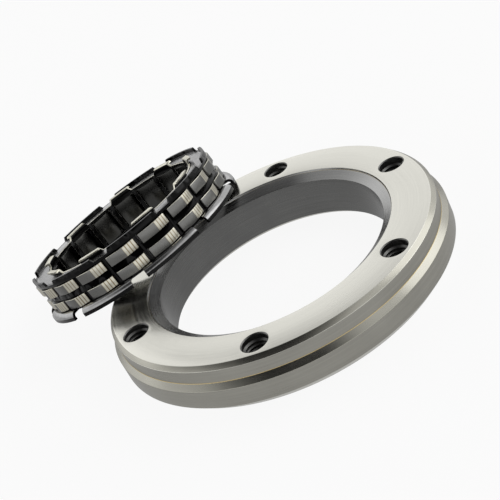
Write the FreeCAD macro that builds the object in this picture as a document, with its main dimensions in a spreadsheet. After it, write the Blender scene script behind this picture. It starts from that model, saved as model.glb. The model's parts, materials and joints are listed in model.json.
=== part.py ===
import FreeCAD, Part
import math
import os

import Sketcher

# One-way sprag clutch: the outer race of a starter clutch, and beside it the sprag cage,
# lifted out of the race and leaning on it. Millimetres, +Z up along the race's axis.
# The origin is on the race's axis, half way through its width.

# Driving sizes
SIZES = (
    # the race
    ("bore_dia", 74.42, "outer track that the sprags grip"),
    ("hub_dia", 57.76, "inner track, on the hub that runs inside the sprags"),
    ("race_width", 16.0, "width of the race"),
    ("mouth_dia", 81.2, "wide end of the bevel at the mouth of the bore"),
    ("mouth_depth", 2.34, "depth of that bevel"),
    ("pilot_dia", 107.9, "spigot that centres the race"),
    ("pilot_height", 5.5, "height of the spigot"),
    ("pilot_chamfer", 1.3, "chamfer round the spigot's face"),
    ("flange_dia", 111.4, "largest diameter of the race"),
    ("shoulder_drop", 1.6, "fall of the sloped shoulder under the spigot"),
    ("back_chamfer", 2.8, "chamfer between the flange and the back face"),
    ("bore_chamfer", 1.0, "chamfer at the back of the bore"),
    ("bolt_circle", 94.4, "pitch circle of the tapped holes"),
    ("bolt_count", 6, "tapped holes"),
    ("thread_minor", 6.8, "minor diameter of the M8 thread"),
    ("thread_entry", 0.9, "countersink at each end of a tapped hole"),
    # the outer cage
    ("cage_clearance", 0.6, "room between the outer cage's rim and the bore"),
    ("band_drop", 1.0, "step from the rim down to the band with the windows"),
    ("outer_wall", 0.9, "wall of the outer cage"),
    ("flange_plate", 0.8, "thickness of the outer cage's two flanges"),
    ("lug_top", 7.3, "height of the upper lugs above the middle of the sprags"),
    ("lug_rise", 1.4, "height of the upper lugs above the flange"),
    ("lug_count", 9, "lugs on each end of the outer cage"),
    ("lug_space", 5.6, "room between two upper lugs"),
    ("lug_slant", 0.8, "slant at the ends of an upper lug"),
    ("lug_phase", 9.0, "angle from the first sprag to an upper lug's middle"),
    ("lip_reach", 2.5, "how far the lower lugs stand out from the rim"),
    ("lip_round", 1.9, "bend of the lower lugs"),
    ("lip_bottom", 7.7, "depth of the lower lugs below the middle of the sprags"),
    ("lip_space", 5.6, "room between two lower lugs"),
    ("lip_phase", 18.4, "angle from the first sprag to a lower lug's middle"),
    ("web_width", 2.1, "web between the two rows of windows"),
    # the inner cage
    ("hub_clearance", 0.52, "room between the inner cage and the hub"),
    ("inner_wall", 0.8, "wall of the inner cage"),
    ("inner_width", 11.9, "width of the inner cage without its tabs"),
    ("cage_gap", 0.3, "room between the inner cage and the outer cage's flanges"),
    ("tab_rise", 1.65, "height of the tabs above the inner cage's rim"),
    ("tab_reach", 1.2, "how far a tab is folded outwards"),
    ("tab_plate", 0.6, "thickness of the fold"),
    ("tab_foot", 10.0, "width of a tab where it leaves the rim"),
    ("tab_slant", 1.2, "how much a tab narrows on each side"),
    # the sprags
    ("sprag_count", 18, "sprags"),
    ("sprag_length", 9.4, "length of a sprag along the axis"),
    ("pivot_radius", 33.0, "radius on which the sprags rock"),
    ("crown_gap", 0.01, "room between a gripping sprag and the bore"),
    ("crown_lag", 1.2, "how far the crown lies behind the pivot"),
    ("crown_arc", 15.0, "radius of the outer cam"),
    ("head_back", 6.0, "reach of the head behind the pivot"),
    ("head_front", 4.8, "reach of the head before the pivot"),
    ("head_slope", 1.3, "fall of the flat behind the crown"),
    ("head_depth", 1.5, "depth of the head at its two ends"),
    ("notch_floor", 0.6, "height of the notch's floor above the pivot"),
    ("waist", 4.2, "width of the waist"),
    ("waist_rise", 0.5, "top of the waist above the pivot"),
    ("waist_fall", 0.9, "bottom of the waist below the pivot"),
    ("foot_gap", 0.01, "room between a gripping sprag and the hub"),
    ("foot_lead", 1.6, "how far the foot's crown lies before the pivot"),
    ("foot_arc", 9.0, "radius of the inner cam"),
    ("foot_back", 4.2, "reach of the foot behind the pivot"),
    ("foot_front", 3.9, "reach of the foot before the pivot"),
    ("foot_top", 1.7, "depth of the foot's shoulders below the pivot"),
    ("window_gap", 0.3, "room between a sprag and the sides of its windows"),
    ("end_gap", 0.1, "room between a sprag and the ends of its windows"),
    # the ribbon spring
    ("ribbon_plate", 0.2, "thickness of the ribbon spring"),
    # the resting place
    ("lean_angle", 15.65, "tilt of the cage that leans on the race"),
    ("lean_bearing", 115.8, "compass angle that the cage's axis tilts towards"),
    ("cage_bearing", 114.85, "compass angle of the cage's centre"),
    ("cage_turn", 17.6, "turn of the cage about its own axis"),
    ("seat_gap", 0.2, "room left where the cage rests on the race"),
)

doc = FreeCAD.newDocument("sprag_clutch")
sheet = doc.addObject("Spreadsheet::Sheet", "sizes")
for row, (alias, number, note) in enumerate(SIZES, start=1):
    sheet.set("A%d" % row, note)
    sheet.set("B%d" % row, str(number))
    sheet.setAlias("B%d" % row, alias)
doc.recompute()


def value(expression):
    """The number that an expression over the sheet gives."""
    return float(sheet.evalExpression(expression))


# Lengths that follow from the driving sizes, as expressions for the sketches
BORE = "sizes.bore_dia / 2"
HUB = "sizes.hub_dia / 2"
FACE = "sizes.race_width / 2"
PILOT = "sizes.pilot_dia / 2"
FLANGE = "sizes.flange_dia / 2"

SPRAG_END = "sizes.sprag_length / 2"
WINDOW_END = f"({SPRAG_END} + sizes.end_gap)"

WALL_OUT = f"({BORE} - sizes.cage_clearance)"
WALL_IN = f"({WALL_OUT} - sizes.outer_wall)"
BAND_OUT = f"({WALL_OUT} - sizes.band_drop)"
BAND_IN = f"({BAND_OUT} - sizes.outer_wall)"
LUG_TOP = "sizes.lug_top"
PLATE_TOP = f"({LUG_TOP} - sizes.lug_rise)"
PLATE_UNDER = f"({PLATE_TOP} - sizes.flange_plate)"
RIM_UNDER = f"({WINDOW_END} + sizes.end_gap)"
LIP_OUT = f"({WALL_OUT} + sizes.lip_reach)"
LIP_PLATE = f"({PLATE_TOP} - {RIM_UNDER})"
LIP_BEND = f"({LIP_OUT} - sizes.lip_round)"
LIP_FALL = f"({RIM_UNDER} + sizes.lip_round)"

TUBE_IN = f"({HUB} + sizes.hub_clearance)"
TUBE_OUT = f"({TUBE_IN} + sizes.inner_wall)"
PLATE_IN = f"({TUBE_OUT} + sizes.cage_gap)"
RIM = "sizes.inner_width / 2"
TAB_TOP = f"({RIM} + sizes.tab_rise)"

PIVOT = "sizes.pivot_radius"
CROWN = f"sqrt(({BORE} - sizes.crown_gap)^2 - sizes.crown_lag^2)"
CROWN_END = (f"({CROWN} - sizes.crown_arc"
             " + sqrt(sizes.crown_arc^2 - (sizes.head_front + sizes.crown_lag)^2))")
HEAD_BACK_TOP = f"({CROWN} - sizes.head_slope)"
FOOT = f"sqrt(({HUB} + sizes.foot_gap)^2 - sizes.foot_lead^2)"
FOOT_BACK = (f"({FOOT} + sizes.foot_arc"
             " - sqrt(sizes.foot_arc^2 - (sizes.foot_back + sizes.foot_lead)^2))")
FOOT_FRONT = (f"({FOOT} + sizes.foot_arc"
              " - sqrt(sizes.foot_arc^2 - (sizes.foot_front - sizes.foot_lead)^2))")


def new_body(name):
    body = doc.addObject("PartDesign::Body", name)
    body.Label = name
    return body


def origin_feature(body, role):
    return next(item for item in body.Origin.OriginFeatures if item.Role == role)


def arc_between(start, end, radius, centre_side):
    """An arc from start to end, and whether it runs backwards (end is its first point).
    centre_side is 1 with the centre on the left of the chord, -1 on its right."""
    chord = end - start
    left = FreeCAD.Vector(-chord.y, chord.x, 0).normalize()
    offset = math.sqrt(radius ** 2 - (chord.Length / 2) ** 2)
    centre = (start + end) * 0.5 + left * (offset * centre_side)
    angles = [math.atan2(point.y - centre.y, point.x - centre.x) for point in (start, end)]
    backwards = centre_side < 0
    if backwards:
        angles.reverse()
    circle = Part.Circle(centre, FreeCAD.Vector(0, 0, 1), radius)
    return Part.ArcOfCircle(circle, angles[0], angles[1]), backwards


def add_outline(sketch, corners):
    """Draw a closed outline. A corner is (across, up), or (across, up, radius, side) where
    an arc leads from it to the next corner. Every corner is held by two dimensions."""
    points = [FreeCAD.Vector(value(corner[0]), value(corner[1]), 0) for corner in corners]
    edges = []
    for number, corner in enumerate(corners):
        start, end = points[number], points[(number + 1) % len(points)]
        if len(corner) == 4:
            curve, backwards = arc_between(start, end, value(corner[2]), corner[3])
        else:
            curve, backwards = Part.LineSegment(start, end), False
        first, last = (2, 1) if backwards else (1, 2)
        edges.append((sketch.addGeometry(curve, False), first, last))
    for number, corner in enumerate(corners):
        edge, first, last = edges[number]
        following = edges[(number + 1) % len(edges)]
        sketch.addConstraint(Sketcher.Constraint("Coincident", edge, last, following[0], following[1]))
        for kind, expression in (("DistanceX", corner[0]), ("DistanceY", corner[1])):
            index = sketch.addConstraint(
                Sketcher.Constraint(kind, -1, 1, edge, first, value(expression)))
            sketch.setExpression("Constraints[%d]" % index, expression)
        if len(corner) == 4:
            index = sketch.addConstraint(Sketcher.Constraint("Radius", edge, value(corner[2])))
            sketch.setExpression("Constraints[%d]" % index, corner[2])


def new_sketch(body, name, plane, *outlines, turn=None):
    """A sketch on one of the body's own planes, turned about Z where a turn is given."""
    sketch = body.newObject("Sketcher::SketchObject", name)
    sketch.AttachmentSupport = [(origin_feature(body, plane), "")]
    sketch.MapMode = "FlatFace"
    if turn:
        sketch.AttachmentOffset = FreeCAD.Placement(
            FreeCAD.Vector(), FreeCAD.Rotation(FreeCAD.Vector(0, 1, 0), value(turn)))
        sketch.setExpression("AttachmentOffset.Rotation.Angle", turn)
    for corners in outlines:
        add_outline(sketch, corners)
    return sketch


def revolve(body, name, corners, angle="360", turn=None):
    """A ring, or a part of one, about Z from an outline of (radius, height) corners."""
    sketch = new_sketch(body, name + "_outline", "XZ_Plane", corners, turn=turn)
    ring = body.newObject("PartDesign::Revolution", name)
    ring.Profile = sketch
    ring.ReferenceAxis = (sketch, ["V_Axis"])
    ring.setExpression("Angle", angle)
    return ring


def cut_round(body, name, sketch, count):
    """Cut a sketch outwards from the axis and repeat the cut round it."""
    pocket = body.newObject("PartDesign::Pocket", name)
    pocket.Profile = sketch
    pocket.Type = "ThroughAll"
    pocket.Reversed = True
    doc.recompute()
    repeat_round(body, name + "_ring", pocket, count)


def repeat_round(body, name, feature, count):
    pattern = body.newObject("PartDesign::PolarPattern", name)
    pattern.Originals = [feature]
    pattern.Axis = (origin_feature(body, "Z_Axis"), [""])
    pattern.Angle = 360
    pattern.setExpression("Occurrences", count)
    body.Tip = pattern
    doc.recompute()
    return pattern


def rectangle(left, right, bottom, top):
    return [(left, bottom), (right, bottom), (right, top), (left, top)]


def edge_names(shape, wanted):
    return ["Edge%d" % number for number, edge in enumerate(shape.Edges, start=1) if wanted(edge)]


def make_race():
    """The outer race: a ring with a spigot, a sloped shoulder, a flange and tapped holes."""
    body = new_body("outer_race")
    top, bottom = FACE, f"-{FACE}"
    revolve(body, "race_ring", [
        ("sizes.mouth_dia / 2", top),
        (f"{PILOT} - sizes.pilot_chamfer", top),
        (PILOT, f"{top} - sizes.pilot_chamfer"),
        (PILOT, f"{top} - sizes.pilot_height"),
        (FLANGE, f"{top} - sizes.pilot_height - sizes.shoulder_drop"),
        (FLANGE, f"{bottom} + sizes.back_chamfer"),
        (f"{FLANGE} - sizes.back_chamfer", bottom),
        (f"{BORE} + sizes.bore_chamfer", bottom),
        (BORE, f"{bottom} + sizes.bore_chamfer"),
        (BORE, f"{top} - sizes.mouth_depth"),
    ])
    doc.recompute()
    circle = body.newObject("Sketcher::SketchObject", "hole_outline")
    circle.AttachmentSupport = [(origin_feature(body, "XY_Plane"), "")]
    circle.MapMode = "FlatFace"
    minor = value("sizes.thread_minor / 2")
    centre = FreeCAD.Vector(value("sizes.bolt_circle / 2"), 0, 0)
    edge = circle.addGeometry(Part.Circle(centre, FreeCAD.Vector(0, 0, 1), minor), False)
    circle.addConstraint(Sketcher.Constraint("PointOnObject", edge, 3, -1))
    away = circle.addConstraint(Sketcher.Constraint("DistanceX", -1, 1, edge, 3, centre.x))
    circle.setExpression("Constraints[%d]" % away, "sizes.bolt_circle / 2")
    wide = circle.addConstraint(Sketcher.Constraint("Diameter", edge, 2 * minor))
    circle.setExpression("Constraints[%d]" % wide, "sizes.thread_minor")
    hole = body.newObject("PartDesign::Pocket", "hole")
    hole.Profile = circle
    hole.Type = "ThroughAll"
    hole.SideType = "Symmetric"
    doc.recompute()
    holes = repeat_round(body, "hole_ring", hole, "sizes.bolt_count")

    def mouth_of_hole(edge):
        curve = edge.Curve
        return isinstance(curve, Part.Circle) and abs(curve.Radius - minor) < 1e-6

    entry = body.newObject("PartDesign::Chamfer", "hole_entries")
    entry.Base = (holes, edge_names(holes.Shape, mouth_of_hole))
    entry.setExpression("Size", "sizes.thread_entry")
    return body


def make_outer_cage():
    """The outer cage: a band with two rows of windows, a flange at each end turned inwards,
    upright lugs round the upper end and lugs that flare outwards round the lower end."""
    body = new_body("outer_cage")
    revolve(body, "outer_channel", [
        (BAND_IN, f"-{PLATE_UNDER}"),
        (BAND_IN, PLATE_UNDER),
        (PLATE_IN, PLATE_UNDER),
        (PLATE_IN, PLATE_TOP),
        (WALL_IN, PLATE_TOP),
        (WALL_IN, LUG_TOP),
        (WALL_OUT, LUG_TOP),
        (WALL_OUT, RIM_UNDER),
        (BAND_OUT, RIM_UNDER),
        (BAND_OUT, f"-{PLATE_TOP}"),
        (PLATE_IN, f"-{PLATE_TOP}"),
        (PLATE_IN, f"-{PLATE_UNDER}"),
    ])
    left = "-(sizes.head_back + sizes.window_gap)"
    right = "sizes.head_front + sizes.window_gap"
    web = "sizes.web_width / 2"
    rows = [rectangle(left, right, web, WINDOW_END),
            rectangle(left, right, f"-{WINDOW_END}", f"-{web}")]
    windows = new_sketch(body, "window_outlines", "YZ_Plane", *rows)
    cut_round(body, "windows", windows, "sizes.sprag_count")
    space_turn = "sizes.lug_phase + 180 / sizes.lug_count"
    half = "sizes.lug_space / 2"
    wide = f"({half} + sizes.lug_slant)"
    clear = f"({LUG_TOP} + sizes.lug_rise)"
    space = [
        (f"-{half}", PLATE_TOP),
        (half, PLATE_TOP),
        (wide, LUG_TOP),
        (wide, clear),
        (f"-{wide}", clear),
        (f"-{wide}", LUG_TOP),
    ]
    spaces = new_sketch(body, "lug_space_outline", "YZ_Plane", space, turn=space_turn)
    cut_round(body, "lug_spaces", spaces, "sizes.lug_count")
    lug_angle = f"(360 / sizes.lug_count - 2 * asin(sizes.lip_space / 2 / {LIP_OUT}) / 1 deg)"
    lip = revolve(body, "lower_lug", [
        (BAND_IN, f"-{RIM_UNDER}"),
        (LIP_BEND, f"-{RIM_UNDER}", "sizes.lip_round", -1),
        (LIP_OUT, f"-{LIP_FALL}"),
        (LIP_OUT, "-sizes.lip_bottom"),
        (f"{LIP_OUT} - {LIP_PLATE}", "-sizes.lip_bottom"),
        (f"{LIP_OUT} - {LIP_PLATE}", f"-{LIP_FALL}", f"sizes.lip_round - {LIP_PLATE}", 1),
        (LIP_BEND, f"-{PLATE_TOP}"),
        (BAND_IN, f"-{PLATE_TOP}"),
    ], lug_angle, f"sizes.lip_phase - {lug_angle} / 2")
    doc.recompute()
    repeat_round(body, "lower_lugs", lip, "sizes.lug_count")
    return body


def make_inner_cage():
    """The inner cage: a tube with one row of windows, whose upper rim has a folded tab
    over every second window."""
    body = new_body("inner_cage")
    fold = f"({TUBE_OUT} + sizes.tab_reach)"
    revolve(body, "inner_tube", [
        (TUBE_IN, f"-{RIM}"),
        (TUBE_OUT, f"-{RIM}"),
        (TUBE_OUT, f"{TAB_TOP} - sizes.tab_plate"),
        (fold, f"{TAB_TOP} - sizes.tab_plate"),
        (fold, TAB_TOP),
        (TUBE_IN, TAB_TOP),
    ])
    left = "-(sizes.foot_back + sizes.window_gap)"
    right = "sizes.foot_front + sizes.window_gap"
    window = rectangle(left, right, f"-{WINDOW_END}", WINDOW_END)
    windows = new_sketch(body, "foot_window_outline", "YZ_Plane", window)
    cut_round(body, "foot_windows", windows, "sizes.sprag_count")
    tab_pitch = f"2 * pi * {TUBE_OUT} / sizes.lug_count"
    middle = "(sizes.foot_front - sizes.foot_back) / 2"
    low = f"({tab_pitch} - sizes.tab_foot) / 2"
    high = f"({low} + sizes.tab_slant)"
    space = [
        (f"{middle} - {low}", RIM),
        (f"{middle} + {low}", RIM),
        (f"{middle} + {high}", TAB_TOP),
        (f"{middle} + {high}", f"{TAB_TOP} + sizes.tab_rise"),
        (f"{middle} - {high}", f"{TAB_TOP} + sizes.tab_rise"),
        (f"{middle} - {high}", TAB_TOP),
    ]
    gaps = new_sketch(body, "tab_space_outline", "YZ_Plane", space)
    cut_round(body, "tab_spaces", gaps, "sizes.lug_count")
    return body


def make_ribbon_spring():
    """The ribbon spring between the two cages, with a window for each sprag's waist."""
    body = new_body("ribbon_spring")
    inside = f"({PIVOT} - sizes.ribbon_plate / 2)"
    outside = f"({PIVOT} + sizes.ribbon_plate / 2)"
    edge = f"({PLATE_UNDER} - sizes.end_gap)"
    revolve(body, "ribbon_ring", rectangle(inside, outside, f"-{edge}", edge))
    side = "(sizes.waist / 2 + sizes.window_gap)"
    window = rectangle(f"-{side}", side, f"-{WINDOW_END}", WINDOW_END)
    windows = new_sketch(body, "waist_window_outline", "YZ_Plane", window)
    cut_round(body, "waist_windows", windows, "sizes.sprag_count")
    return body


def make_sprag(name):
    """A sprag: a cam at each end of a waist, and a notch in its head that clears the web."""
    body = new_body(name)
    half = "sizes.waist / 2"
    waist_top = f"{PIVOT} + sizes.waist_rise"
    waist_bottom = f"{PIVOT} - sizes.waist_fall"
    foot_top = f"{PIVOT} - sizes.foot_top"
    outline = new_sketch(body, name + "_outline", "XY_Plane", [
        (FOOT_BACK, "-sizes.foot_back", "sizes.foot_arc", -1),
        (FOOT_FRONT, "sizes.foot_front"),
        (foot_top, "sizes.foot_front"),
        (waist_bottom, half),
        (waist_top, half),
        (f"{CROWN_END} - sizes.head_depth", "sizes.head_front"),
        (CROWN_END, "sizes.head_front", "sizes.crown_arc", -1),
        (CROWN, "-sizes.crown_lag"),
        (HEAD_BACK_TOP, "-sizes.head_back"),
        (f"{HEAD_BACK_TOP} - sizes.head_depth", "-sizes.head_back"),
        (waist_top, f"-{half}"),
        (waist_bottom, f"-{half}"),
        (foot_top, "-sizes.foot_back"),
    ])
    block = body.newObject("PartDesign::Pad", name + "_block")
    block.Profile = outline
    block.SideType = "Symmetric"
    block.setExpression("Length", "sizes.sprag_length")
    notch_side = "(sizes.web_width / 2 + sizes.end_gap)"
    notch_outline = new_sketch(body, name + "_notch_outline", "XZ_Plane", rectangle(
        f"{PIVOT} + sizes.notch_floor", f"{BORE}", f"-{notch_side}", notch_side))
    notch = body.newObject("PartDesign::Pocket", name + "_notch")
    notch.Profile = notch_outline
    notch.Type = "ThroughAll"
    notch.SideType = "Symmetric"
    return body


def lean(reach):
    """The frame of the leaning cage when its centre is at this distance from the axis and
    its lowest lug stands on the plane under the race."""
    bearing = math.radians(value("sizes.cage_bearing"))
    towards = math.radians(value("sizes.lean_bearing"))
    angle = math.radians(value("sizes.lean_angle"))
    height = (value(LIP_OUT) * math.sin(angle) + value("sizes.lip_bottom") * math.cos(angle)
              - value(FACE))
    centre = FreeCAD.Vector(reach * math.cos(bearing), reach * math.sin(bearing), height)
    level = FreeCAD.Vector(-math.sin(towards), math.cos(towards), 0)
    return FreeCAD.Placement(centre, FreeCAD.Rotation(level, math.degrees(angle)))


def lower_rims():
    """The circles of the cage that come nearest to the race, in the cage's own frame."""
    circles = ((LIP_OUT, "sizes.lip_bottom"), (LIP_OUT, LIP_FALL), (LIP_BEND, RIM_UNDER),
               (f"{LIP_OUT} - {LIP_PLATE}", "sizes.lip_bottom"), (PLATE_IN, PLATE_TOP),
               (TUBE_IN, RIM))
    up = FreeCAD.Vector(0, 0, 1)
    return Part.Compound([
        Part.Circle(FreeCAD.Vector(0, 0, -value(height)), up, value(radius)).toShape()
        for radius, height in circles])


def seated_reach(race_shape):
    """The distance at which the cage rests on the race's edge with the seat's gap."""
    rims = lower_rims()
    near = value(PILOT)
    far = near + value(WALL_OUT)
    for _ in range(16):
        reach = (near + far) / 2
        rims.Placement = lean(reach)
        if race_shape.distToShape(rims)[0] > value("sizes.seat_gap"):
            far = reach
        else:
            near = reach
    return far


def turned(angle):
    return FreeCAD.Placement(FreeCAD.Vector(), FreeCAD.Rotation(FreeCAD.Vector(0, 0, 1), angle))


outer_race = make_race()
doc.recompute()
cage_frame = lean(seated_reach(outer_race.Shape)) * turned(value("sizes.cage_turn"))

pieces = [outer_race]
for make in (make_outer_cage, make_inner_cage, make_ribbon_spring):
    piece = make()
    piece.Placement = cage_frame
    pieces.append(piece)

sprag_pitch = value("360 / sizes.sprag_count")
for number in range(int(value("sizes.sprag_count"))):
    sprag = make_sprag("sprag_%02d" % (number + 1))
    sprag.Placement = cage_frame * turned(number * sprag_pitch)
    pieces.append(sprag)
doc.recompute()

for item in doc.Objects:
    if "Invalid" in item.State or "Error" in item.State:
        raise RuntimeError("%s failed: %s" % (item.Label, item.State))
for piece in pieces:
    if piece.Shape.isNull() or not piece.Shape.isValid() or len(piece.Shape.Solids) != 1:
        raise RuntimeError("%s is not one valid solid" % piece.Label)

os.makedirs("parts", exist_ok=True)
for piece in pieces:
    piece.Shape.exportStep("parts/%s.step" % piece.Label)
    print("%-14s %10.2f mm3" % (piece.Label, piece.Shape.Volume))
print("cage centre", cage_frame.Base, "axis", cage_frame.Rotation.multVec(FreeCAD.Vector(0, 0, 1)))
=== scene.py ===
"""A sprag clutch: its outer race lying on a table, and its sprag cage leaning on the race."""
import json
import math

import bpy
from mathutils import Matrix, Vector


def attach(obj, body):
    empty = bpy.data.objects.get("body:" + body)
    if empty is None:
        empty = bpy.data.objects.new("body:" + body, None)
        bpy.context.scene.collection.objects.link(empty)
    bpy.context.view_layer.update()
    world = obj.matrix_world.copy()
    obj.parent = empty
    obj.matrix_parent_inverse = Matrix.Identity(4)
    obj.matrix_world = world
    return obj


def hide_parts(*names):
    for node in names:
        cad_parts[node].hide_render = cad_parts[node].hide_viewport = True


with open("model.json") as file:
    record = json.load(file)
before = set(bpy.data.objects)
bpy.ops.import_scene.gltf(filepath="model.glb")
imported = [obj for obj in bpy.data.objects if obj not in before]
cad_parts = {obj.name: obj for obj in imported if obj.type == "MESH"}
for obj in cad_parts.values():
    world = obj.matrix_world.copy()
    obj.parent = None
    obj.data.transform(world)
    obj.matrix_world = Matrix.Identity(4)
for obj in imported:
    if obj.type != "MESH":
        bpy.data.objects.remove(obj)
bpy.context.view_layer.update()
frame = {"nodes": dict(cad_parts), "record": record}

MM = 0.001

# The race, in millimetres, with the model's own sizes
RACE_HALF = 8.0
BORE_RADIUS = 37.21
BORE_CHAMFER = 1.0
MOUTH_RADIUS = 40.6
MOUTH_DEPTH = 2.34
MOUTH_STEP = 0.6
SPIGOT_RADIUS = 53.95
SPIGOT_HEIGHT = 5.5
SPIGOT_CHAMFER = 1.3
FLANGE_RADIUS = 55.7
SHOULDER_DROP = 1.6
BACK_CHAMFER = 2.8
BOLT_CIRCLE = 47.2
BOLTS = 6
THREAD_MAJOR = 4.0
THREAD_MINOR = 3.4
THREAD_PITCH = 1.25
THREAD_ENTRY = 4.3
# Half a thread's width at its crest and at its foot, in pitches, and how deep the foot is sunk
THREAD_CREST = 1 / 16
THREAD_FOOT = 7 / 16
THREAD_SINK = 0.05
THREAD_STEPS = 40
RACE_STEPS = 288
DRILL_STEPS = 48

# How the race's edges are rounded
STEP_ROUND = 0.1
FINE_ROUND = 0.15
EDGE_ROUND = 0.2
SPIGOT_ROUND = 0.25
CORNER_ROUND = 0.3

# The outer cage, in millimetres, with the phases of its lugs in degrees
WALL_OUT = 36.61
WALL_IN = 35.71
BAND_OUT = 35.61
BAND_IN = 34.71
LUG_TOP = 7.3
PLATE_TOP = 5.9
PLATE_UNDER = 5.1
PLATE_IN = 30.5
RIM_UNDER = 4.9
LUGS = 9
LUG_SPACE = 5.6
LUG_SLANT = 0.8
LUG_PHASE = 9.0
LIP_OUT = 39.11
LIP_ROUND = 1.9
LIP_BOTTOM = 7.7
LIP_SPACE = 5.6
LIP_PHASE = 18.4
# The lower lugs start this far inside the band
LIP_SINK = 0.5
LIP_STEPS = 8
WEB_HALF = 1.05
WINDOW_END = 4.8
BAND_ROUND = 0.3
WALL_ROUND = 0.25
LUG_ROUND = 0.2
# The cuts between the upper lugs start this far inside the wall
LUG_ROOT = 0.6
OUTER_CAGE_WEAR = 0.18
CAGE_STEPS = 360

# The inner cage
TUBE_IN = 29.4
TUBE_OUT = 30.2
RIM = 5.95
TAB_TOP = 7.6
TAB_FOLD = 31.4
TAB_PLATE = 0.6
TAB_FOOT = 10.0
TAB_SLANT = 1.2
TAB_BEND = 0.6
TAB_INNER_BEND = 0.15
TAB_FOOT_ROUND = 0.4
# The tabs are rubbed bright down to this far below the rim
TAB_RUBBED = 0.3
INNER_CAGE_WEAR = 0.2

# The sprags
SPRAGS = 18
PIVOT = 33.0
SPRAG_HALF = 4.7
HEAD_BACK = 6.0
HEAD_FRONT = 4.8
HEAD_SLOPE = 1.3
HEAD_DEPTH = 1.5
NOTCH_FLOOR = 0.6
FOOT_BACK = 4.2
FOOT_FRONT = 3.9
FOOT_TOP = 1.7
WINDOW_GAP = 0.3
END_GAP = 0.1
CROWN_RADIUS = 37.2
CROWN_LAG = 1.2
CROWN_ARC = 15.0
FOOT_RADIUS = 28.89
FOOT_LEAD = 1.6
FOOT_ARC = 9.0
WAIST_HALF = 2.1
WAIST_RISE = 0.5
WAIST_FALL = 0.9
CAM_STEPS = 12
SPRAG_WEAR = 0.2
# Fine stripes on the rubbed side of a cam, counted per pitch of the sprags
CAM_STRIPES = 11
# Where the rubbed side starts, measured round the cage from the pivot
CAM_RUBBED = 0.4

# Cutters reach this far past what they cut
SPARE = 1.0
# Faces that would fall together are kept this far apart
NUDGE = 0.02
# Faces count as lying on a line or a level within this
NEAR = 0.1
# Faces are told apart by how far up their normal points, from 0 for a wall to 1 for a flat
FLAT = 0.9
NEARLY_FLAT = 0.8
STEEP = 0.5
UPRIGHT = 0.3
SIDE = 0.2
SLOPING_UP = 0.15
# The steps of most roundings in an outline
ROUND_STEPS = 3
# Edges that turn by more than this, in degrees, are softened
SHARP = 40.0

# The lay of turned steel: how fast it changes round the axis, and per metre across it
LAY_ALONG = 1.6
LAY_ACROSS = 2600.0
# The share of the lay in the steel's tone, beside the smears, and what each adds to the roughness
LAY_SHARE = 0.6
LAY_ROUGHNESS = 0.08
SMEAR_ROUGHNESS = 0.06
# The black oxide: its roughness, how much lighter its mottle gets, its grain and its gloss
OXIDE_ROUGHNESS = (0.24, 0.26)
OXIDE_MOTTLE = 1.4
OXIDE_GRAIN = 0.06
OXIDE_GLOSS = 0.15
CAM_ROUGHNESS = 0.24
# The metals' patterns, as scales per metre, and the depth of their relief in millimetres
SMEARS = 70.0
MOTTLE = 420.0
GRAIN = 2600.0
WEAR_PATCHES = 300.0
CAM_PATCHES = 260.0
RELIEF = 0.02

# The camera, from its fit to the photograph, in millimetres and degrees
CAMERA_PLACE = (-62.98, -310.12, 180.30)
CAMERA_ANGLES = (58.498, 24.684, -24.966)
CAMERA_LENS = 85.25
SENSOR = 36.0
# In metres
CLIP_START = 0.01

# The studio's brightness from straight down (0) to straight up (1)
STUDIO_GREYS = ((0.0, 0.75), (0.45, 0.95), (0.62, 1.0), (0.80, 0.85), (1.0, 0.75))

# The studio's dark patches, one high in front and one overhead:
# direction, closeness to it at which the dark starts and is full, and how dark it is
DARK_PATCHES = (((-0.386, -0.416, 0.822), 0.78, 0.93, 0.95),
                ((-0.20, 0.20, 0.96), 0.62, 0.90, 0.70))

# The soft lamps: name, place in metres, size in metres and power in watts
LAMPS = (("back_light", (-0.35, 0.55, 0.55), 0.8, 0.6),
         ("side_light", (0.6, -0.1, 0.4), 0.5, 0.9))

# The floor's size in metres and its tone, how much of it is its own white, which leaves room
# for a shadow, and how much darker it is in the metal's reflections than it looks itself
FLOOR_SIZE = 6.0
FLOOR_TONE = 0.97
FLOOR_ROUGHNESS = 0.7
FLOOR_GLOSS = 0.2
FLOOR_WHITE = 0.9
FLOOR_DIMMING = 0.5


# Modelling helpers

def deselect():
    bpy.ops.object.select_all(action="DESELECT")


def pick(piece):
    """Make a piece the only one selected, and the active one."""
    deselect()
    piece.select_set(True)
    bpy.context.view_layer.objects.active = piece


def apply_place(piece):
    pick(piece)
    bpy.ops.object.transform_apply(location=True, rotation=True, scale=True)


def move_to(piece, matrix):
    piece.matrix_world = matrix @ piece.matrix_world
    apply_place(piece)


def copied(piece, name):
    pick(piece)
    bpy.ops.object.duplicate(linked=False)
    twin = bpy.context.object
    twin.name = name
    return twin


def joined(pieces, name):
    """Join pieces into the first one."""
    deselect()
    for piece in pieces:
        piece.select_set(True)
    bpy.context.view_layer.objects.active = pieces[0]
    bpy.ops.object.join()
    pieces[0].name = name
    return pieces[0]


def select_vertices(piece, wanted):
    """Select the vertices whose place in millimetres passes the test, in edit mode."""
    bpy.ops.object.mode_set(mode="OBJECT")
    for face in piece.data.polygons:
        face.select = False
    for edge in piece.data.edges:
        edge.select = False
    for vertex in piece.data.vertices:
        vertex.select = wanted(vertex.co / MM)
    bpy.ops.object.mode_set(mode="EDIT")


def modify(piece, kind, **settings):
    """Add a modifier, set it and apply it."""
    pick(piece)
    modifier = piece.modifiers.new(kind.title(), kind)
    for key, setting in settings.items():
        setattr(modifier, key, setting)
    bpy.ops.object.modifier_apply(modifier=modifier.name)


def cut_with(piece, cutter):
    modify(piece, "BOOLEAN", operation="DIFFERENCE", solver="EXACT", object=cutter)
    bpy.data.objects.remove(cutter)


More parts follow.
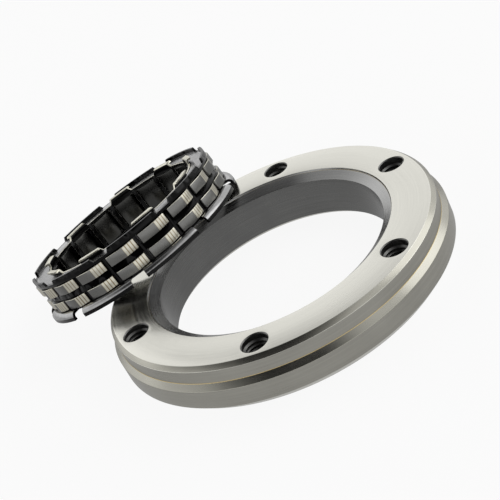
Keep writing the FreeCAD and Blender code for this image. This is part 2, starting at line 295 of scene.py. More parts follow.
def soften(piece, width, wear_and_highlight, segments=2):
    """Round the sharp edges a little, and give the rounding the edge material: rubbed steel, its
    brightness partly a painted highlight.
    """
    modify(piece, "BEVEL", width=width * MM, segments=segments, limit_method="ANGLE",
           angle_limit=math.radians(SHARP), material=slot_of(piece, wear_and_highlight), use_clamp_overlap=True)


def smooth(piece, angle=32.0):
    pick(piece)
    bpy.ops.object.shade_smooth_by_angle(angle=math.radians(angle))


def rounded(corners, steps=4):
    """An outline of (across, up) points from corners of (across, up, rounding)."""
    points = []
    for number, (across, up, rounding) in enumerate(corners):
        here = Vector((across, up))
        if not rounding:
            points.append(here)
            continue
        before = (Vector(corners[number - 1][:2]) - here).normalized()
        after = (Vector(corners[(number + 1) % len(corners)][:2]) - here).normalized()
        half = before.angle(after) / 2
        reach = rounding / math.tan(half)
        start = here + before * reach
        end = here + after * reach
        centre = here + (before + after).normalized() * (rounding / math.sin(half))
        swing = (start - centre).angle_signed(end - centre)
        for step in range(steps + 1):
            spoke = start - centre
            spoke.rotate(Matrix.Rotation(-swing * step / steps, 2))
            points.append(centre + spoke)
    return [tuple(point) for point in points]


def turned(name, outline, steps, closed=True):
    """A body of revolution about Z, drawn out loop by loop along (radius, height) points.
    A closed outline makes a ring; an open one makes a plug with flat ends."""
    radius, height = outline[0]
    filling = "NOTHING" if closed else "NGON"
    bpy.ops.mesh.primitive_circle_add(vertices=steps, radius=radius * MM, fill_type=filling,
                                      location=(0, 0, height * MM))
    ring = bpy.context.object
    ring.name = name
    apply_place(ring)
    bpy.ops.object.mode_set(mode="EDIT")
    bpy.ops.mesh.select_mode(type="EDGE")
    bpy.ops.mesh.select_all(action="SELECT")
    for wider, higher in outline[1:]:
        bpy.ops.mesh.extrude_edges_move(
            TRANSFORM_OT_translate={"value": (0, 0, (higher - height) * MM)})
        bpy.ops.transform.resize(value=(wider / radius, wider / radius, 1),
                                 center_override=(0, 0, 0))
        radius, height = wider, higher
    if closed:
        bpy.ops.mesh.select_mode(type="EDGE")
        bpy.ops.mesh.select_all(action="DESELECT")
        bpy.ops.mesh.select_non_manifold()
        bpy.ops.mesh.bridge_edge_loops()
    else:
        bpy.ops.mesh.edge_face_add()
    bpy.ops.mesh.select_all(action="SELECT")
    bpy.ops.mesh.normals_make_consistent(inside=False)
    bpy.ops.object.mode_set(mode="OBJECT")
    return ring


def drawn(name, outline, low, high):
    """A flat plate with its outline in X and Y, extruded from low to high along Z."""
    bpy.ops.mesh.primitive_plane_add(size=MM, location=(0, 0, 0))
    plate = bpy.context.object
    plate.name = name
    bpy.ops.object.mode_set(mode="EDIT")
    bpy.ops.mesh.select_mode(type="VERT")
    bpy.ops.mesh.select_all(action="SELECT")
    bpy.ops.mesh.merge(type="CENTER")
    x, y = outline[0]
    bpy.ops.transform.translate(value=(x * MM, y * MM, low * MM))
    for across, up in outline[1:]:
        bpy.ops.mesh.extrude_vertices_move(
            TRANSFORM_OT_translate={"value": ((across - x) * MM, (up - y) * MM, 0)})
        x, y = across, up
    bpy.ops.mesh.select_all(action="SELECT")
    bpy.ops.mesh.edge_face_add()
    bpy.ops.mesh.extrude_region_move(TRANSFORM_OT_translate={"value": (0, 0, (high - low) * MM)})
    bpy.ops.mesh.select_all(action="SELECT")
    bpy.ops.mesh.normals_make_consistent(inside=False)
    bpy.ops.object.mode_set(mode="OBJECT")
    return plate


def block(name, low, high):
    """A box between two corners."""
    middle = [(a + b) / 2 * MM for a, b in zip(low, high)]
    bpy.ops.mesh.primitive_cube_add(size=1, location=middle)
    box = bpy.context.object
    box.name = name
    box.scale = [(b - a) * MM for a, b in zip(low, high)]
    apply_place(box)
    return box


def around(piece, count, name, turn=0.0):
    """Copies of a piece evenly spaced about Z and joined into one, in place of the piece."""
    ring = []
    for number in range(count):
        twin = copied(piece, name)
        move_to(twin, Matrix.Rotation(math.radians(turn + 360 * number / count), 4, "Z"))
        ring.append(twin)
    bpy.data.objects.remove(piece)
    return joined(ring, name)


def slot_of(piece, material):
    return piece.data.materials.find(material.name)


def assign(piece, material, wanted):
    """Give a material to the faces whose centre (mm) and normal pass the test."""
    slot = slot_of(piece, material)
    for face in piece.data.polygons:
        if wanted(face.center / MM, face.normal):
            face.material_index = slot


def give_materials(piece, *materials):
    piece.data.materials.clear()
    for material in materials:
        piece.data.materials.append(material)


# Material helpers

def new_material(name):
    material = bpy.data.materials.new(name)
    material.use_nodes = True
    nodes = material.node_tree.nodes
    shader = nodes["Principled BSDF"]
    return material, nodes, material.node_tree.links, shader


def maths(nodes, links, operation, first, second=None):
    """One arithmetic step on sockets or numbers."""
    node = nodes.new("ShaderNodeMath")
    node.operation = operation
    for socket, source in zip(node.inputs, (first, second)):
        if source is None:
            continue
        if isinstance(source, (int, float)):
            socket.default_value = source
        else:
            links.new(source, socket)
    return node.outputs[0]


def own_coordinates(nodes, links, placing=None):
    """Object coordinates, turned into the leaning cage's frame where its placing is given."""
    coordinates = nodes.new("ShaderNodeTexCoord").outputs["Object"]
    if placing is None:
        return coordinates
    mapping = nodes.new("ShaderNodeMapping")
    mapping.vector_type = "TEXTURE"
    mapping.inputs["Location"].default_value = placing.to_translation()
    mapping.inputs["Rotation"].default_value = placing.to_euler("XYZ")
    links.new(coordinates, mapping.inputs["Vector"])
    return mapping.outputs["Vector"]


def lathe_coordinates(nodes, links, source, along, across):
    """Coordinates that run round the axis: slow round it (along), quick across it."""
    split = nodes.new("ShaderNodeSeparateXYZ")
    links.new(source, split.inputs[0])
    x, y, z = split.outputs
    squares = maths(nodes, links, "ADD", maths(nodes, links, "MULTIPLY", x, x),
                    maths(nodes, links, "MULTIPLY", y, y))
    radius = maths(nodes, links, "SQRT", squares)
    merged = nodes.new("ShaderNodeCombineXYZ")
    for number, part in enumerate((x, y)):
        unit = maths(nodes, links, "DIVIDE", part, radius)
        links.new(maths(nodes, links, "MULTIPLY", unit, along), merged.inputs[number])
    links.new(maths(nodes, links, "MULTIPLY", maths(nodes, links, "ADD", radius, z), across),
              merged.inputs[2])
    return merged.outputs[0]


def noise(nodes, links, vector, scale, detail, roughness):
    node = nodes.new("ShaderNodeTexNoise")
    node.inputs["Scale"].default_value = scale
    node.inputs["Detail"].default_value = detail
    node.inputs["Roughness"].default_value = roughness
    links.new(vector, node.inputs["Vector"])
    return node.outputs["Fac"]


def between(nodes, links, factor, low, high, low_in=0.3, high_in=0.7):
    """Map a factor from its usual band to a range of values."""
    node = nodes.new("ShaderNodeMapRange")
    node.inputs["From Min"].default_value = low_in
    node.inputs["From Max"].default_value = high_in
    node.inputs["To Min"].default_value = low
    node.inputs["To Max"].default_value = high
    links.new(factor, node.inputs["Value"])
    return node.outputs["Result"]


def blended(nodes, links, factor, first, second):
    """The first colour where the factor is 0, and the second where it is 1."""
    node = nodes.new("ShaderNodeMix")
    node.data_type = "RGBA"
    links.new(factor, node.inputs["Factor"])
    for socket, source in ((node.inputs[6], first), (node.inputs[7], second)):
        if isinstance(source, tuple):
            socket.default_value = (*source, 1)
        else:
            links.new(source, socket)
    return node.outputs[2]


def bump(nodes, links, shader, height, strength):
    node = nodes.new("ShaderNodeBump")
    node.inputs["Strength"].default_value = strength
    node.inputs["Distance"].default_value = RELIEF * MM
    links.new(height, node.inputs["Height"])
    links.new(node.outputs["Normal"], shader.inputs["Normal"])


def lathe_steel(name, light, dark, rough, lay):
    """The race's steel, with a turned or ground lay round its axis, and faint smears."""
    material, nodes, links, shader = new_material(name)
    source = own_coordinates(nodes, links)
    turning = lathe_coordinates(nodes, links, source, LAY_ALONG, LAY_ACROSS)
    streaks = noise(nodes, links, turning, 1.0, detail=4.0, roughness=0.6)
    blotches = noise(nodes, links, source, SMEARS, detail=3.0, roughness=0.55)
    tone = maths(nodes, links, "ADD", maths(nodes, links, "MULTIPLY", streaks, LAY_SHARE),
                 maths(nodes, links, "MULTIPLY", blotches, 1.0 - LAY_SHARE))
    links.new(blended(nodes, links, between(nodes, links, tone, 0.0, 1.0), dark, light),
              shader.inputs["Base Color"])
    turned_finish = between(nodes, links, streaks, rough, rough + LAY_ROUGHNESS)
    smeared = between(nodes, links, blotches, -SMEAR_ROUGHNESS / 2, SMEAR_ROUGHNESS)
    links.new(maths(nodes, links, "ADD", turned_finish, smeared), shader.inputs["Roughness"])
    shader.inputs["Metallic"].default_value = 1.0
    bump(nodes, links, shader, streaks, lay)
    return material


def blackened_steel(name, placing, shade, coat):
    """Pressed sheet steel with a glossy black oxide finish, faintly mottled; with a lighter shade
    it is a painted sheen on that oxide.
    """
    material, nodes, links, shader = new_material(name)
    source = own_coordinates(nodes, links, placing)
    mottle = noise(nodes, links, source, MOTTLE, detail=5.0, roughness=0.6)
    grain = noise(nodes, links, source, GRAIN, detail=2.0, roughness=0.5)
    lighter = shade * OXIDE_MOTTLE
    links.new(blended(nodes, links, between(nodes, links, mottle, 0.0, 1.0),
                      (shade, shade, shade), (lighter, lighter, lighter)),
              shader.inputs["Base Color"])
    links.new(between(nodes, links, mottle, *OXIDE_ROUGHNESS), shader.inputs["Roughness"])
    shader.inputs["Metallic"].default_value = 1.0
    shader.inputs["Coat Weight"].default_value = coat
    shader.inputs["Coat Roughness"].default_value = OXIDE_GLOSS
    bump(nodes, links, shader, grain, OXIDE_GRAIN)
    return material


def patchy_steel(name, placing, light, dark, rough, spread=0.12):
    """Bare steel with faint patches: for rubbed edges and tabs, the edges' brightness partly a
    painted highlight, and for the sprags, their feet's painted shade and the strip.
    """
    material, nodes, links, shader = new_material(name)
    source = own_coordinates(nodes, links, placing)
    patches = noise(nodes, links, source, WEAR_PATCHES, detail=4.0, roughness=0.6)
    links.new(blended(nodes, links, between(nodes, links, patches, 0.0, 1.0), dark, light),
              shader.inputs["Base Color"])
    links.new(between(nodes, links, patches, rough, rough + spread), shader.inputs["Roughness"])
    shader.inputs["Metallic"].default_value = 1.0
    return material


def striped_steel(name, placing, light, dark):
    """The rubbed front of a cam: warm bright steel with fine stripes along the sprag."""
    material, nodes, links, shader = new_material(name)
    source = own_coordinates(nodes, links, placing)
    split = nodes.new("ShaderNodeSeparateXYZ")
    links.new(source, split.inputs[0])
    turn = maths(nodes, links, "ARCTAN2", split.outputs[1], split.outputs[0])
    wave = maths(nodes, links, "SINE", maths(nodes, links, "MULTIPLY", turn, CAM_STRIPES * SPRAGS))
    stripes = between(nodes, links, wave, 0.0, 1.0, 0.1, 0.95)
    patches = noise(nodes, links, source, CAM_PATCHES, detail=3.0, roughness=0.5)
    tone = maths(nodes, links, "MULTIPLY", stripes, between(nodes, links, patches, 0.5, 1.0))
    links.new(blended(nodes, links, tone, light, dark), shader.inputs["Base Color"])
    shader.inputs["Roughness"].default_value = CAM_ROUGHNESS
    shader.inputs["Metallic"].default_value = 1.0
    return material


# Where the cage leans: its centre, its axis and the direction of its first sprag

joints = {joint["name"]: joint for joint in frame["record"]["behaviour"]["joints"]}
cage_centre = Vector(joints["cage_spin"]["pos_m"])
cage_axis = Vector(joints["cage_spin"]["axis"]).normalized()
first_pivot = (Vector(joints["sprag_01_tilt"]["pos_m"]) - cage_centre).normalized()
sideways = cage_axis.cross(first_pivot)
LEAN = Matrix((first_pivot, sideways, cage_axis)).transposed().to_4x4()
LEAN.translation = cage_centre

polished = lathe_steel("polished_steel", (0.84, 0.83, 0.76), (0.72, 0.71, 0.65), 0.14, 0.03)
# painted shade: the outer walls get a darker copy of the steel than the top face, standing in for
# the dark room they reflect
brushed_and_painted_shade = lathe_steel("brushed_and_painted_shade_steel", (0.52, 0.51, 0.46), (0.40, 0.39, 0.35), 0.26, 0.05)
# painted shade: the bore gets a dark copy of the steel, standing in for the shade it reflects
track_and_painted_shade = lathe_steel("track_and_painted_shade_steel", (0.24, 0.24, 0.235), (0.17, 0.17, 0.168), 0.20, 0.015)
shoulder = lathe_steel("shoulder_steel", (0.48, 0.47, 0.41), (0.36, 0.35, 0.31), 0.20, 0.03)
# painted highlight: straw-coloured lines of light, painted on the root of the spigot and on the
# mouth's step
painted_straw_highlight = lathe_steel("painted_straw_highlight_steel", (0.70, 0.57, 0.32), (0.50, 0.40, 0.21), 0.24, 0.02)
# painted shade: the mouth's bevel gets a darker copy of the steel, standing in for the cage's
# reflection and shadow
bevel_and_painted_shade = lathe_steel("bevel_and_painted_shade_steel", (0.42, 0.42, 0.41), (0.30, 0.30, 0.30), 0.20, 0.02)
thread = lathe_steel("thread_steel", (0.20, 0.20, 0.19), (0.12, 0.12, 0.12), 0.30, 0.0)
black = blackened_steel("blackened_steel", LEAN, 0.004, 0.25)
# painted sheen: a lighter copy of the black oxide, for the outer cage's flat and upward faces that
# catch the bright room
painted_sheen = blackened_steel("blackened_painted_sheen", LEAN, 0.30, 0.6)
# the cages' edges, here and in the next line: rubbed bare steel, brighter still as a painted
# highlight along them
cage_edge_wear_and_highlight = patchy_steel("cage_edge_wear_and_highlight_steel", LEAN, (0.36, 0.36, 0.35), (0.14, 0.14, 0.14), 0.25)
tube_edge_wear_and_highlight = patchy_steel("tube_edge_wear_and_highlight_steel", LEAN, (0.62, 0.61, 0.56), (0.40, 0.39, 0.36), 0.25)
rubbed = patchy_steel("rubbed_steel", LEAN, (0.86, 0.84, 0.72), (0.66, 0.64, 0.54), 0.25)
ground = patchy_steel("ground_steel", LEAN, (0.205, 0.205, 0.196), (0.18, 0.18, 0.173), 0.24, 0.03)
polished_cam = striped_steel("cam_steel", LEAN, (0.64, 0.62, 0.53), (0.27, 0.21, 0.12))
# painted shade: a much darker copy of the sprags' steel, for their feet inside the inner cage,
# where shade falls
painted_shade_foot_steel = patchy_steel("painted_shade_foot_steel", LEAN, (0.085, 0.085, 0.080), (0.065, 0.065, 0.062),
                        0.22, 0.03)
# the sprags' upper edges: rubbed steel, and a painted highlight, as only the upward roundings keep
# it
sprag_edge_wear_and_highlight = patchy_steel("sprag_edge_steel", LEAN, (0.74, 0.72, 0.62), (0.56, 0.54, 0.46), 0.18)
strip = patchy_steel("strip_steel", LEAN, (0.20, 0.20, 0.20), (0.12, 0.12, 0.12), 0.25)


# The outer race

def make_race():
    """The thick ring with its spigot, its sloped shoulder and its six drilled holes."""
    outline = rounded([
        (MOUTH_RADIUS, RACE_HALF, FINE_ROUND),
        (SPIGOT_RADIUS - SPIGOT_CHAMFER, RACE_HALF, EDGE_ROUND),
        (SPIGOT_RADIUS, RACE_HALF - SPIGOT_CHAMFER, SPIGOT_ROUND),
        (SPIGOT_RADIUS, RACE_HALF - SPIGOT_HEIGHT, CORNER_ROUND),
        (FLANGE_RADIUS, RACE_HALF - SPIGOT_HEIGHT - SHOULDER_DROP, CORNER_ROUND),
        (FLANGE_RADIUS, BACK_CHAMFER - RACE_HALF, CORNER_ROUND),
        (FLANGE_RADIUS - BACK_CHAMFER, -RACE_HALF, EDGE_ROUND),
        (BORE_RADIUS + BORE_CHAMFER, -RACE_HALF, FINE_ROUND),
        (BORE_RADIUS, BORE_CHAMFER - RACE_HALF, FINE_ROUND),
        (BORE_RADIUS, RACE_HALF - MOUTH_DEPTH, FINE_ROUND),
        (MOUTH_RADIUS - MOUTH_STEP / 2, RACE_HALF - MOUTH_STEP, STEP_ROUND),
    ], ROUND_STEPS)
    race = turned("race", outline, RACE_STEPS)
    give_materials(race, polished, brushed_and_painted_shade, track_and_painted_shade, shoulder, thread, painted_straw_highlight, bevel_and_painted_shade)
    entry = RACE_HALF - (THREAD_ENTRY - THREAD_MAJOR)
    past = RACE_HALF + SPARE
    drill = turned("drill", [
        (THREAD_ENTRY + SPARE, -past), (THREAD_MAJOR, -entry),
        (THREAD_MAJOR, entry), (THREAD_ENTRY + SPARE, past)], DRILL_STEPS, closed=False)
    move_to(drill, Matrix.Translation((BOLT_CIRCLE * MM, 0, 0)))
    cut_with(race, around(drill, BOLTS, "drills"))

    def radius(place):
        return place.xy.length

    def in_hole(place, normal):
        pitch = 2 * math.pi / BOLTS
        nearest = round(math.atan2(place.y, place.x) / pitch) * pitch
        centre = Vector((math.cos(nearest), math.sin(nearest))) * BOLT_CIRCLE
        return (place.xy - centre).length < THREAD_ENTRY + NEAR and abs(normal.z) < FLAT

    root = RACE_HALF - SPIGOT_HEIGHT
    chamfer_in = SPIGOT_RADIUS - SPIGOT_CHAMFER + NEAR
    chamfer_low = RACE_HALF - SPIGOT_CHAMFER + NEAR
    step_radius = MOUTH_RADIUS - MOUTH_STEP / 2
    step_height = RACE_HALF - MOUTH_STEP
    # the walls: their brushed lay, with painted shade in their darker tone
    assign(race, brushed_and_painted_shade, lambda p, n: abs(n.z) < STEEP and radius(p) > MOUTH_RADIUS)
    assign(race, shoulder, lambda p, n: radius(p) > SPIGOT_RADIUS - NEAR
           and root - SHOULDER_DROP - NEAR < p.z < root + NEAR)
    # the bore, with painted shade in its dark tone
    assign(race, track_and_painted_shade, lambda p, n: radius(p) < MOUTH_RADIUS - NEAR
           and p.z > BORE_CHAMFER - RACE_HALF)
    # painted highlight line at the root of the spigot
    assign(race, painted_straw_highlight, lambda p, n: abs(radius(p) - SPIGOT_RADIUS) < CORNER_ROUND
           and abs(p.z - root) < CORNER_ROUND)
    # the mouth's bevel, with painted shade in its darker tone
    assign(race, bevel_and_painted_shade, lambda p, n: BORE_RADIUS + NEAR < radius(p) < MOUTH_RADIUS - NEAR
           and p.z > RACE_HALF - MOUTH_DEPTH)
    assign(race, shoulder, lambda p, n: radius(p) > chamfer_in and p.z > chamfer_low)
    # painted highlight line on the mouth's step
    assign(race, painted_straw_highlight, lambda p, n: abs(radius(p) - step_radius) < NEAR
           and abs(p.z - step_height) < NEAR)
    assign(race, thread, in_hole)
    smooth(race)
    return race


def make_threads():
    """The threads of the six tapped holes, each a helical ridge lining its hole."""
    crest = THREAD_PITCH * THREAD_CREST
    foot = THREAD_PITCH * THREAD_FOOT
    root = THREAD_MAJOR + THREAD_SINK
    profile = [(root, -foot), (THREAD_MINOR, -crest), (THREAD_MINOR, crest), (root, foot)]
    ridge = drawn("thread", profile, 0, NUDGE)
    # the drawn plate lies in X and Y: stand it up, so that its outline runs along the hole
    move_to(ridge, Matrix.Rotation(math.pi / 2, 4, "X"))
    bpy.ops.object.mode_set(mode="EDIT")
    bpy.ops.mesh.select_all(action="SELECT")
    bpy.ops.mesh.delete(type="ONLY_FACE")
    bpy.ops.object.mode_set(mode="OBJECT")
    select_vertices(ridge, lambda place: abs(place.y) > NUDGE / 2)
    bpy.ops.mesh.delete(type="VERT")
    bpy.ops.object.mode_set(mode="OBJECT")
    turns = math.floor((2 * RACE_HALF - 2 * THREAD_PITCH) / THREAD_PITCH)
    move_to(ridge, Matrix.Translation((0, 0, -turns * THREAD_PITCH / 2 * MM)))
    modify(ridge, "SCREW", axis="Z", angle=2 * math.pi * turns, steps=THREAD_STEPS * turns,
           render_steps=THREAD_STEPS * turns, screw_offset=THREAD_PITCH * turns * MM,
           use_merge_vertices=False, iterations=1)
    bpy.ops.object.mode_set(mode="EDIT")
    bpy.ops.mesh.select_mode(type="EDGE")
    bpy.ops.mesh.select_all(action="DESELECT")
    bpy.ops.mesh.select_non_manifold()
    bpy.ops.mesh.fill_holes(sides=len(profile))
    bpy.ops.mesh.select_all(action="SELECT")
    bpy.ops.mesh.normals_make_consistent(inside=False)
    bpy.ops.object.mode_set(mode="OBJECT")
    move_to(ridge, Matrix.Translation((BOLT_CIRCLE * MM, 0, 0)))
    threads = around(ridge, BOLTS, "race_threads")
    give_materials(threads, thread)
    smooth(threads, angle=30.0)
    return threads


# The two cages

def stand_up(plate):
    """Stand a drawn plate up: its outline's Y runs along the axis, its thickness outwards."""
    move_to(plate, Matrix(((0, 0, 1, 0), (1, 0, 0, 0), (0, 1, 0, 0), (0, 0, 0, 1))))


def make_lower_lugs():
    """The lugs round the lower end, bent outwards and then down: a ring with gaps in it."""
    inside = BAND_OUT - LIP_SINK
    plate = PLATE_TOP - RIM_UNDER
    top = -RIM_UNDER - NUDGE
    under = -PLATE_TOP + NUDGE
    ring = turned("lower_lugs", rounded([
        (inside, top, 0), (LIP_OUT, top, LIP_ROUND),
        (LIP_OUT, -LIP_BOTTOM, 0), (LIP_OUT - plate, -LIP_BOTTOM, 0),
        (LIP_OUT - plate, under, LIP_ROUND - plate), (inside, under, 0),
    ], LIP_STEPS), CAGE_STEPS)
    half = math.asin(LIP_SPACE / 2 / LIP_OUT)
    far = LIP_OUT + 5 * SPARE
    gap = drawn("gap", [(SPARE, 0), (far, -far * math.tan(half)), (far, far * math.tan(half))],
                -LIP_BOTTOM - SPARE, -RIM_UNDER + SPARE)
    cut_with(ring, around(gap, LUGS, "gaps", LIP_PHASE + 180 / LUGS))
    return ring


def make_outer_cage():
    """The band with two rows of windows, a flange at each end and lugs round both rims."""
    outline = rounded([
        (BAND_IN, -PLATE_UNDER, BAND_ROUND), (BAND_IN, PLATE_UNDER, BAND_ROUND),
        (PLATE_IN, PLATE_UNDER, 0), (PLATE_IN, PLATE_TOP, 0),
        (WALL_IN, PLATE_TOP, WALL_ROUND), (WALL_IN, LUG_TOP, 0),
        (WALL_OUT, LUG_TOP, 0), (WALL_OUT, RIM_UNDER, BAND_ROUND),
        (BAND_OUT, RIM_UNDER, 0), (BAND_OUT, -PLATE_TOP, BAND_ROUND),
        (PLATE_IN, -PLATE_TOP, 0), (PLATE_IN, -PLATE_UNDER, 0),
    ], ROUND_STEPS)
    cage = turned("outer_cage_shell", outline, CAGE_STEPS)
    give_materials(cage, black, cage_edge_wear_and_highlight, painted_sheen)
    windows = []
    for low in (WEB_HALF, -WINDOW_END):
        high = low + WINDOW_END - WEB_HALF
        windows.append(block("window", (BAND_IN - SPARE, -HEAD_BACK - WINDOW_GAP, low),
                             (WALL_OUT + SPARE, HEAD_FRONT + WINDOW_GAP, high)))
    cut_with(cage, around(joined(windows, "windows"), SPRAGS, "windows"))
    half = LUG_SPACE / 2
    wide = half + LUG_SLANT
    foot = PLATE_TOP + NUDGE
    past = LUG_TOP + 2 * SPARE
    space = drawn("space", rounded([
        (-half, foot, LUG_ROUND), (half, foot, LUG_ROUND), (wide, LUG_TOP, 0),
        (wide, past, 0), (-wide, past, 0), (-wide, LUG_TOP, 0),
    ]), WALL_IN - LUG_ROOT, WALL_OUT + SPARE)
    stand_up(space)
    cut_with(cage, around(space, LUGS, "spaces", LUG_PHASE + 180 / LUGS))
    lips = make_lower_lugs()
    give_materials(lips, black, cage_edge_wear_and_highlight, painted_sheen)
    modify(cage, "BOOLEAN", operation="UNION", solver="EXACT", object=lips)
    bpy.data.objects.remove(lips)
    soften(cage, OUTER_CAGE_WEAR, cage_edge_wear_and_highlight)
    # painted sheen: the flanges' flat sides, and the upper side of the lower lugs, get a lighter
    # copy of the black oxide, a painted reflection of the bright room
    assign(cage, painted_sheen, lambda p, n: abs(n.z) > FLAT and p.xy.length < WALL_IN - BAND_ROUND
           and abs(p.z) > PLATE_TOP - NEAR / 2)
    assign(cage, painted_sheen, lambda p, n: p.z < -RIM_UNDER and p.xy.length > WALL_OUT
           and n.z > SLOPING_UP)
    smooth(cage)
    move_to(cage, LEAN)
    return cage


def make_inner_cage():
    """The tube with one row of windows and a folded tab over every second one."""
    outline = rounded([
        (TUBE_IN, -RIM, 0), (TUBE_OUT, -RIM, 0),
        (TUBE_OUT, TAB_TOP - TAB_PLATE, TAB_INNER_BEND), (TAB_FOLD, TAB_TOP - TAB_PLATE, 0),
        (TAB_FOLD, TAB_TOP, 0), (TUBE_IN, TAB_TOP, TAB_BEND),
    ], ROUND_STEPS)
    cage = turned("inner_cage_tube", outline, CAGE_STEPS)
    give_materials(cage, black, rubbed, tube_edge_wear_and_highlight)
    window = block("window", (TUBE_IN - 2 * SPARE, -FOOT_BACK - WINDOW_GAP, -WINDOW_END),
                   (TUBE_OUT + SPARE, FOOT_FRONT + WINDOW_GAP, WINDOW_END))
    cut_with(cage, around(window, SPRAGS, "windows"))
    middle = (FOOT_FRONT - FOOT_BACK) / 2
    low = (2 * math.pi * TUBE_OUT / LUGS - TAB_FOOT) / 2
    high = low + TAB_SLANT
    past = TAB_TOP + SPARE
    space = drawn("space", rounded([
        (middle - low, RIM, TAB_FOOT_ROUND), (middle + low, RIM, TAB_FOOT_ROUND),
        (middle + high, TAB_TOP, 0), (middle + high, past, 0),
        (middle - high, past, 0), (middle - high, TAB_TOP, 0),
    ]), TUBE_IN - 2 * SPARE, TAB_FOLD + 2 * SPARE)
    stand_up(space)
    cut_with(cage, around(space, LUGS, "spaces"))
    soften(cage, INNER_CAGE_WEAR, tube_edge_wear_and_highlight)

    def rubbed_bright(place, normal):
        """The top of a tab, its outer edge and its cut sides."""
        distance = place.xy.length
        edge = distance > TAB_FOLD - NEAR
        cut_side = abs(normal.xy.dot(place.xy)) < STEEP * distance
        top = normal.z > STEEP
        return place.z > RIM - TAB_RUBBED and (
            top or abs(normal.z) < NEARLY_FLAT and (edge or cut_side))

    assign(cage, rubbed, rubbed_bright)
    smooth(cage)
    move_to(cage, LEAN)
    return cage


# The sprags

def arc_points(centre, radius, start, end, steps):
    """Points on an arc between two (across, up) points, without its ends."""
    first = Vector(start) - Vector(centre)
    last = Vector(end) - Vector(centre)
    swing = first.angle_signed(last)
    points = []
    for step in range(1, steps):
        spoke = first.copy()
        spoke.rotate(Matrix.Rotation(-swing * step / steps, 2))
        points.append(tuple(Vector(centre) + spoke.normalized() * radius))
    return points


def across_at(centre, radius, side, up):
    """The point of a circle at a height, on its outer (1) or its inner (-1) side."""
    return (centre[0] + side * math.sqrt(radius ** 2 - (up - centre[1]) ** 2), up)


def make_sprag():
    """The first sprag, in the cage's own frame: X outwards, Y round the cage."""
    crown = across_at((0, 0), CROWN_RADIUS, 1, -CROWN_LAG)
    crown_centre = (crown[0] - CROWN_ARC, crown[1])
    crown_end = across_at(crown_centre, CROWN_ARC, 1, HEAD_FRONT)
    foot = across_at((0, 0), FOOT_RADIUS, 1, FOOT_LEAD)
    foot_centre = (foot[0] + FOOT_ARC, foot[1])
    foot_back = across_at(foot_centre, FOOT_ARC, -1, -FOOT_BACK)
    foot_front = across_at(foot_centre, FOOT_ARC, -1, FOOT_FRONT)
    top_back = (crown[0] - HEAD_SLOPE, -HEAD_BACK)
    outline = [
        foot_front, (PIVOT - FOOT_TOP, FOOT_FRONT), (PIVOT - WAIST_FALL, WAIST_HALF),
        (PIVOT + WAIST_RISE, WAIST_HALF), (crown_end[0] - HEAD_DEPTH, HEAD_FRONT), crown_end]
    outline += arc_points(crown_centre, CROWN_ARC, crown_end, crown, CAM_STEPS)
    outline += [
        crown, top_back, (top_back[0] - HEAD_DEPTH, -HEAD_BACK),
        (PIVOT + WAIST_RISE, -WAIST_HALF), (PIVOT - WAIST_FALL, -WAIST_HALF),
        (PIVOT - FOOT_TOP, -FOOT_BACK), foot_back]
    outline += arc_points(foot_centre, FOOT_ARC, foot_back, foot_front, CAM_STEPS)
    sprag = drawn("sprag", outline, -SPRAG_HALF, SPRAG_HALF)
    give_materials(sprag, ground, sprag_edge_wear_and_highlight, painted_shade_foot_steel, polished_cam)
    notch_half = WEB_HALF + END_GAP
    beside = HEAD_BACK + SPARE
    cut_with(sprag, block("notch", (PIVOT + NOTCH_FLOOR, -beside, -notch_half),
                          (CROWN_RADIUS + SPARE, beside, notch_half)))
    soften(sprag, SPRAG_WEAR, sprag_edge_wear_and_highlight, segments=3)
    # only the upward roundings stay bright: a painted highlight on the lit side
    assign(sprag, ground, lambda p, n: n.z < SIDE)
    # painted shade on the feet, the part of each sprag inside its pivot
    assign(sprag, painted_shade_foot_steel, lambda p, n: p.x < PIVOT)
    assign(sprag, polished_cam, lambda p, n: p.x > top_back[0] and p.y > CAM_RUBBED
           and abs(n.z) < UPRIGHT)
    smooth(sprag)
    return sprag


def make_sprags():
    """The eighteen sprags by the names of their nodes, each a copy set at its own pivot."""
    pattern = make_sprag()
    sprags = {}
    for number in range(SPRAGS):
        name = "sprag_%02d" % (number + 1)
        sprag = copied(pattern, name + "_ground")
        move_to(sprag, LEAN @ Matrix.Rotation(math.radians(360 * number / SPRAGS), 4, "Z"))
        sprags[name] = sprag
    bpy.data.objects.remove(pattern)
    return sprags


# Each new piece rides on its body, and the model's part that it stands for is hidden

deselect()
race = make_race()
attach(race, "race")
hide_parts("outer_race")

threads = make_threads()
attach(threads, "race")

outer_cage = make_outer_cage()
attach(outer_cage, "cage")
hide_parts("outer_cage")

inner_cage = make_inner_cage()
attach(inner_cage, "inner_cage")
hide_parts("inner_cage")

for node, sprag in make_sprags().items():
    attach(sprag, node)
    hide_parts(node)

ribbon = frame["nodes"]["ribbon_spring"]
give_materials(ribbon, strip)


# The floor, the light and the camera

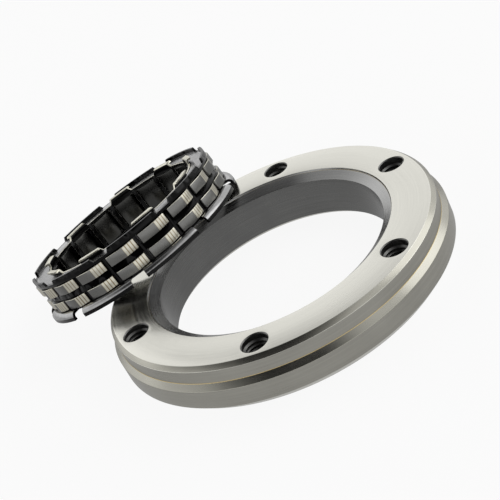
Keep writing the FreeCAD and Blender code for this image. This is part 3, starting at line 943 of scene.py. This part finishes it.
def make_floor():
    bpy.ops.mesh.primitive_plane_add(size=FLOOR_SIZE, location=(0, 0, -RACE_HALF * MM))
    floor = bpy.context.object
    floor.name = "floor"
    material, nodes, links, shader = new_material("pale_floor")
    shader.inputs["Base Color"].default_value = (FLOOR_TONE, FLOOR_TONE, FLOOR_TONE, 1)
    shader.inputs["Roughness"].default_value = FLOOR_ROUGHNESS
    shader.inputs["Specular IOR Level"].default_value = FLOOR_GLOSS
    white = nodes.new("ShaderNodeEmission")
    paths = nodes.new("ShaderNodeLightPath")
    dimming = maths(nodes, links, "MULTIPLY", paths.outputs["Is Glossy Ray"], FLOOR_DIMMING)
    links.new(maths(nodes, links, "SUBTRACT", 1.0, dimming), white.inputs["Strength"])
    seen = maths(nodes, links, "MAXIMUM", paths.outputs["Is Camera Ray"],
                 maths(nodes, links, "MAXIMUM", paths.outputs["Is Glossy Ray"],
                       paths.outputs["Is Transmission Ray"]))
    mix = nodes.new("ShaderNodeMixShader")
    links.new(maths(nodes, links, "MULTIPLY", seen, FLOOR_WHITE), mix.inputs[0])
    links.new(shader.outputs[0], mix.inputs[1])
    links.new(white.outputs[0], mix.inputs[2])
    links.new(mix.outputs[0], nodes["Material Output"].inputs["Surface"])
    floor.data.materials.append(material)


def make_world():
    """A white studio with dark patches, which only the reflections in the metal show."""
    world = bpy.data.worlds.new("studio")
    bpy.context.scene.world = world
    world.use_nodes = True
    nodes, links = world.node_tree.nodes, world.node_tree.links
    backdrop = nodes["Background"]
    direction = nodes.new("ShaderNodeTexCoord").outputs["Generated"]
    split = nodes.new("ShaderNodeSeparateXYZ")
    links.new(direction, split.inputs[0])
    ramp = nodes.new("ShaderNodeValToRGB")
    elements = ramp.color_ramp.elements
    while len(elements) < len(STUDIO_GREYS):
        elements.new(0.5)
    for element, (place, grey) in zip(elements, STUDIO_GREYS):
        element.position = place
        element.color = (grey, grey, grey, 1)
    links.new(between(nodes, links, split.outputs[2], 0.0, 1.0, -1.0, 1.0), ramp.inputs[0])
    room = ramp.outputs[0]
    for place, start, end, depth in DARK_PATCHES:
        facing = nodes.new("ShaderNodeVectorMath")
        facing.operation = "DOT_PRODUCT"
        links.new(direction, facing.inputs[0])
        facing.inputs[1].default_value = place
        darkness = between(nodes, links, facing.outputs["Value"], 0.0, depth, start, end)
        room = blended(nodes, links, darkness, room, (0.0, 0.0, 0.0))
    paths = nodes.new("ShaderNodeLightPath")
    white = (1.0, 1.0, 1.0)
    links.new(blended(nodes, links, paths.outputs["Is Camera Ray"], room, white),
              backdrop.inputs["Color"])
    backdrop.inputs["Strength"].default_value = 1.0


def make_lamp(name, place, size, power):
    """A soft lamp that looks at the origin."""
    bpy.ops.object.light_add(type="AREA", location=place)
    lamp = bpy.context.object
    lamp.name = name
    lamp.data.shape = "SQUARE"
    lamp.data.size = size
    lamp.data.energy = power
    lamp.rotation_euler = (-Vector(place)).to_track_quat("-Z", "Y").to_euler()


def make_camera():
    bpy.ops.object.camera_add(location=[value * MM for value in CAMERA_PLACE],
                              rotation=[math.radians(value) for value in CAMERA_ANGLES])
    camera = bpy.context.object
    camera.data.sensor_width = SENSOR
    camera.data.lens = CAMERA_LENS
    camera.data.clip_start = CLIP_START
    bpy.context.scene.camera = camera


make_floor()
make_world()
for name, place, size, power in LAMPS:
    make_lamp(name, place, size, power)
make_camera()
bpy.context.scene.view_settings.view_transform = "Standard"
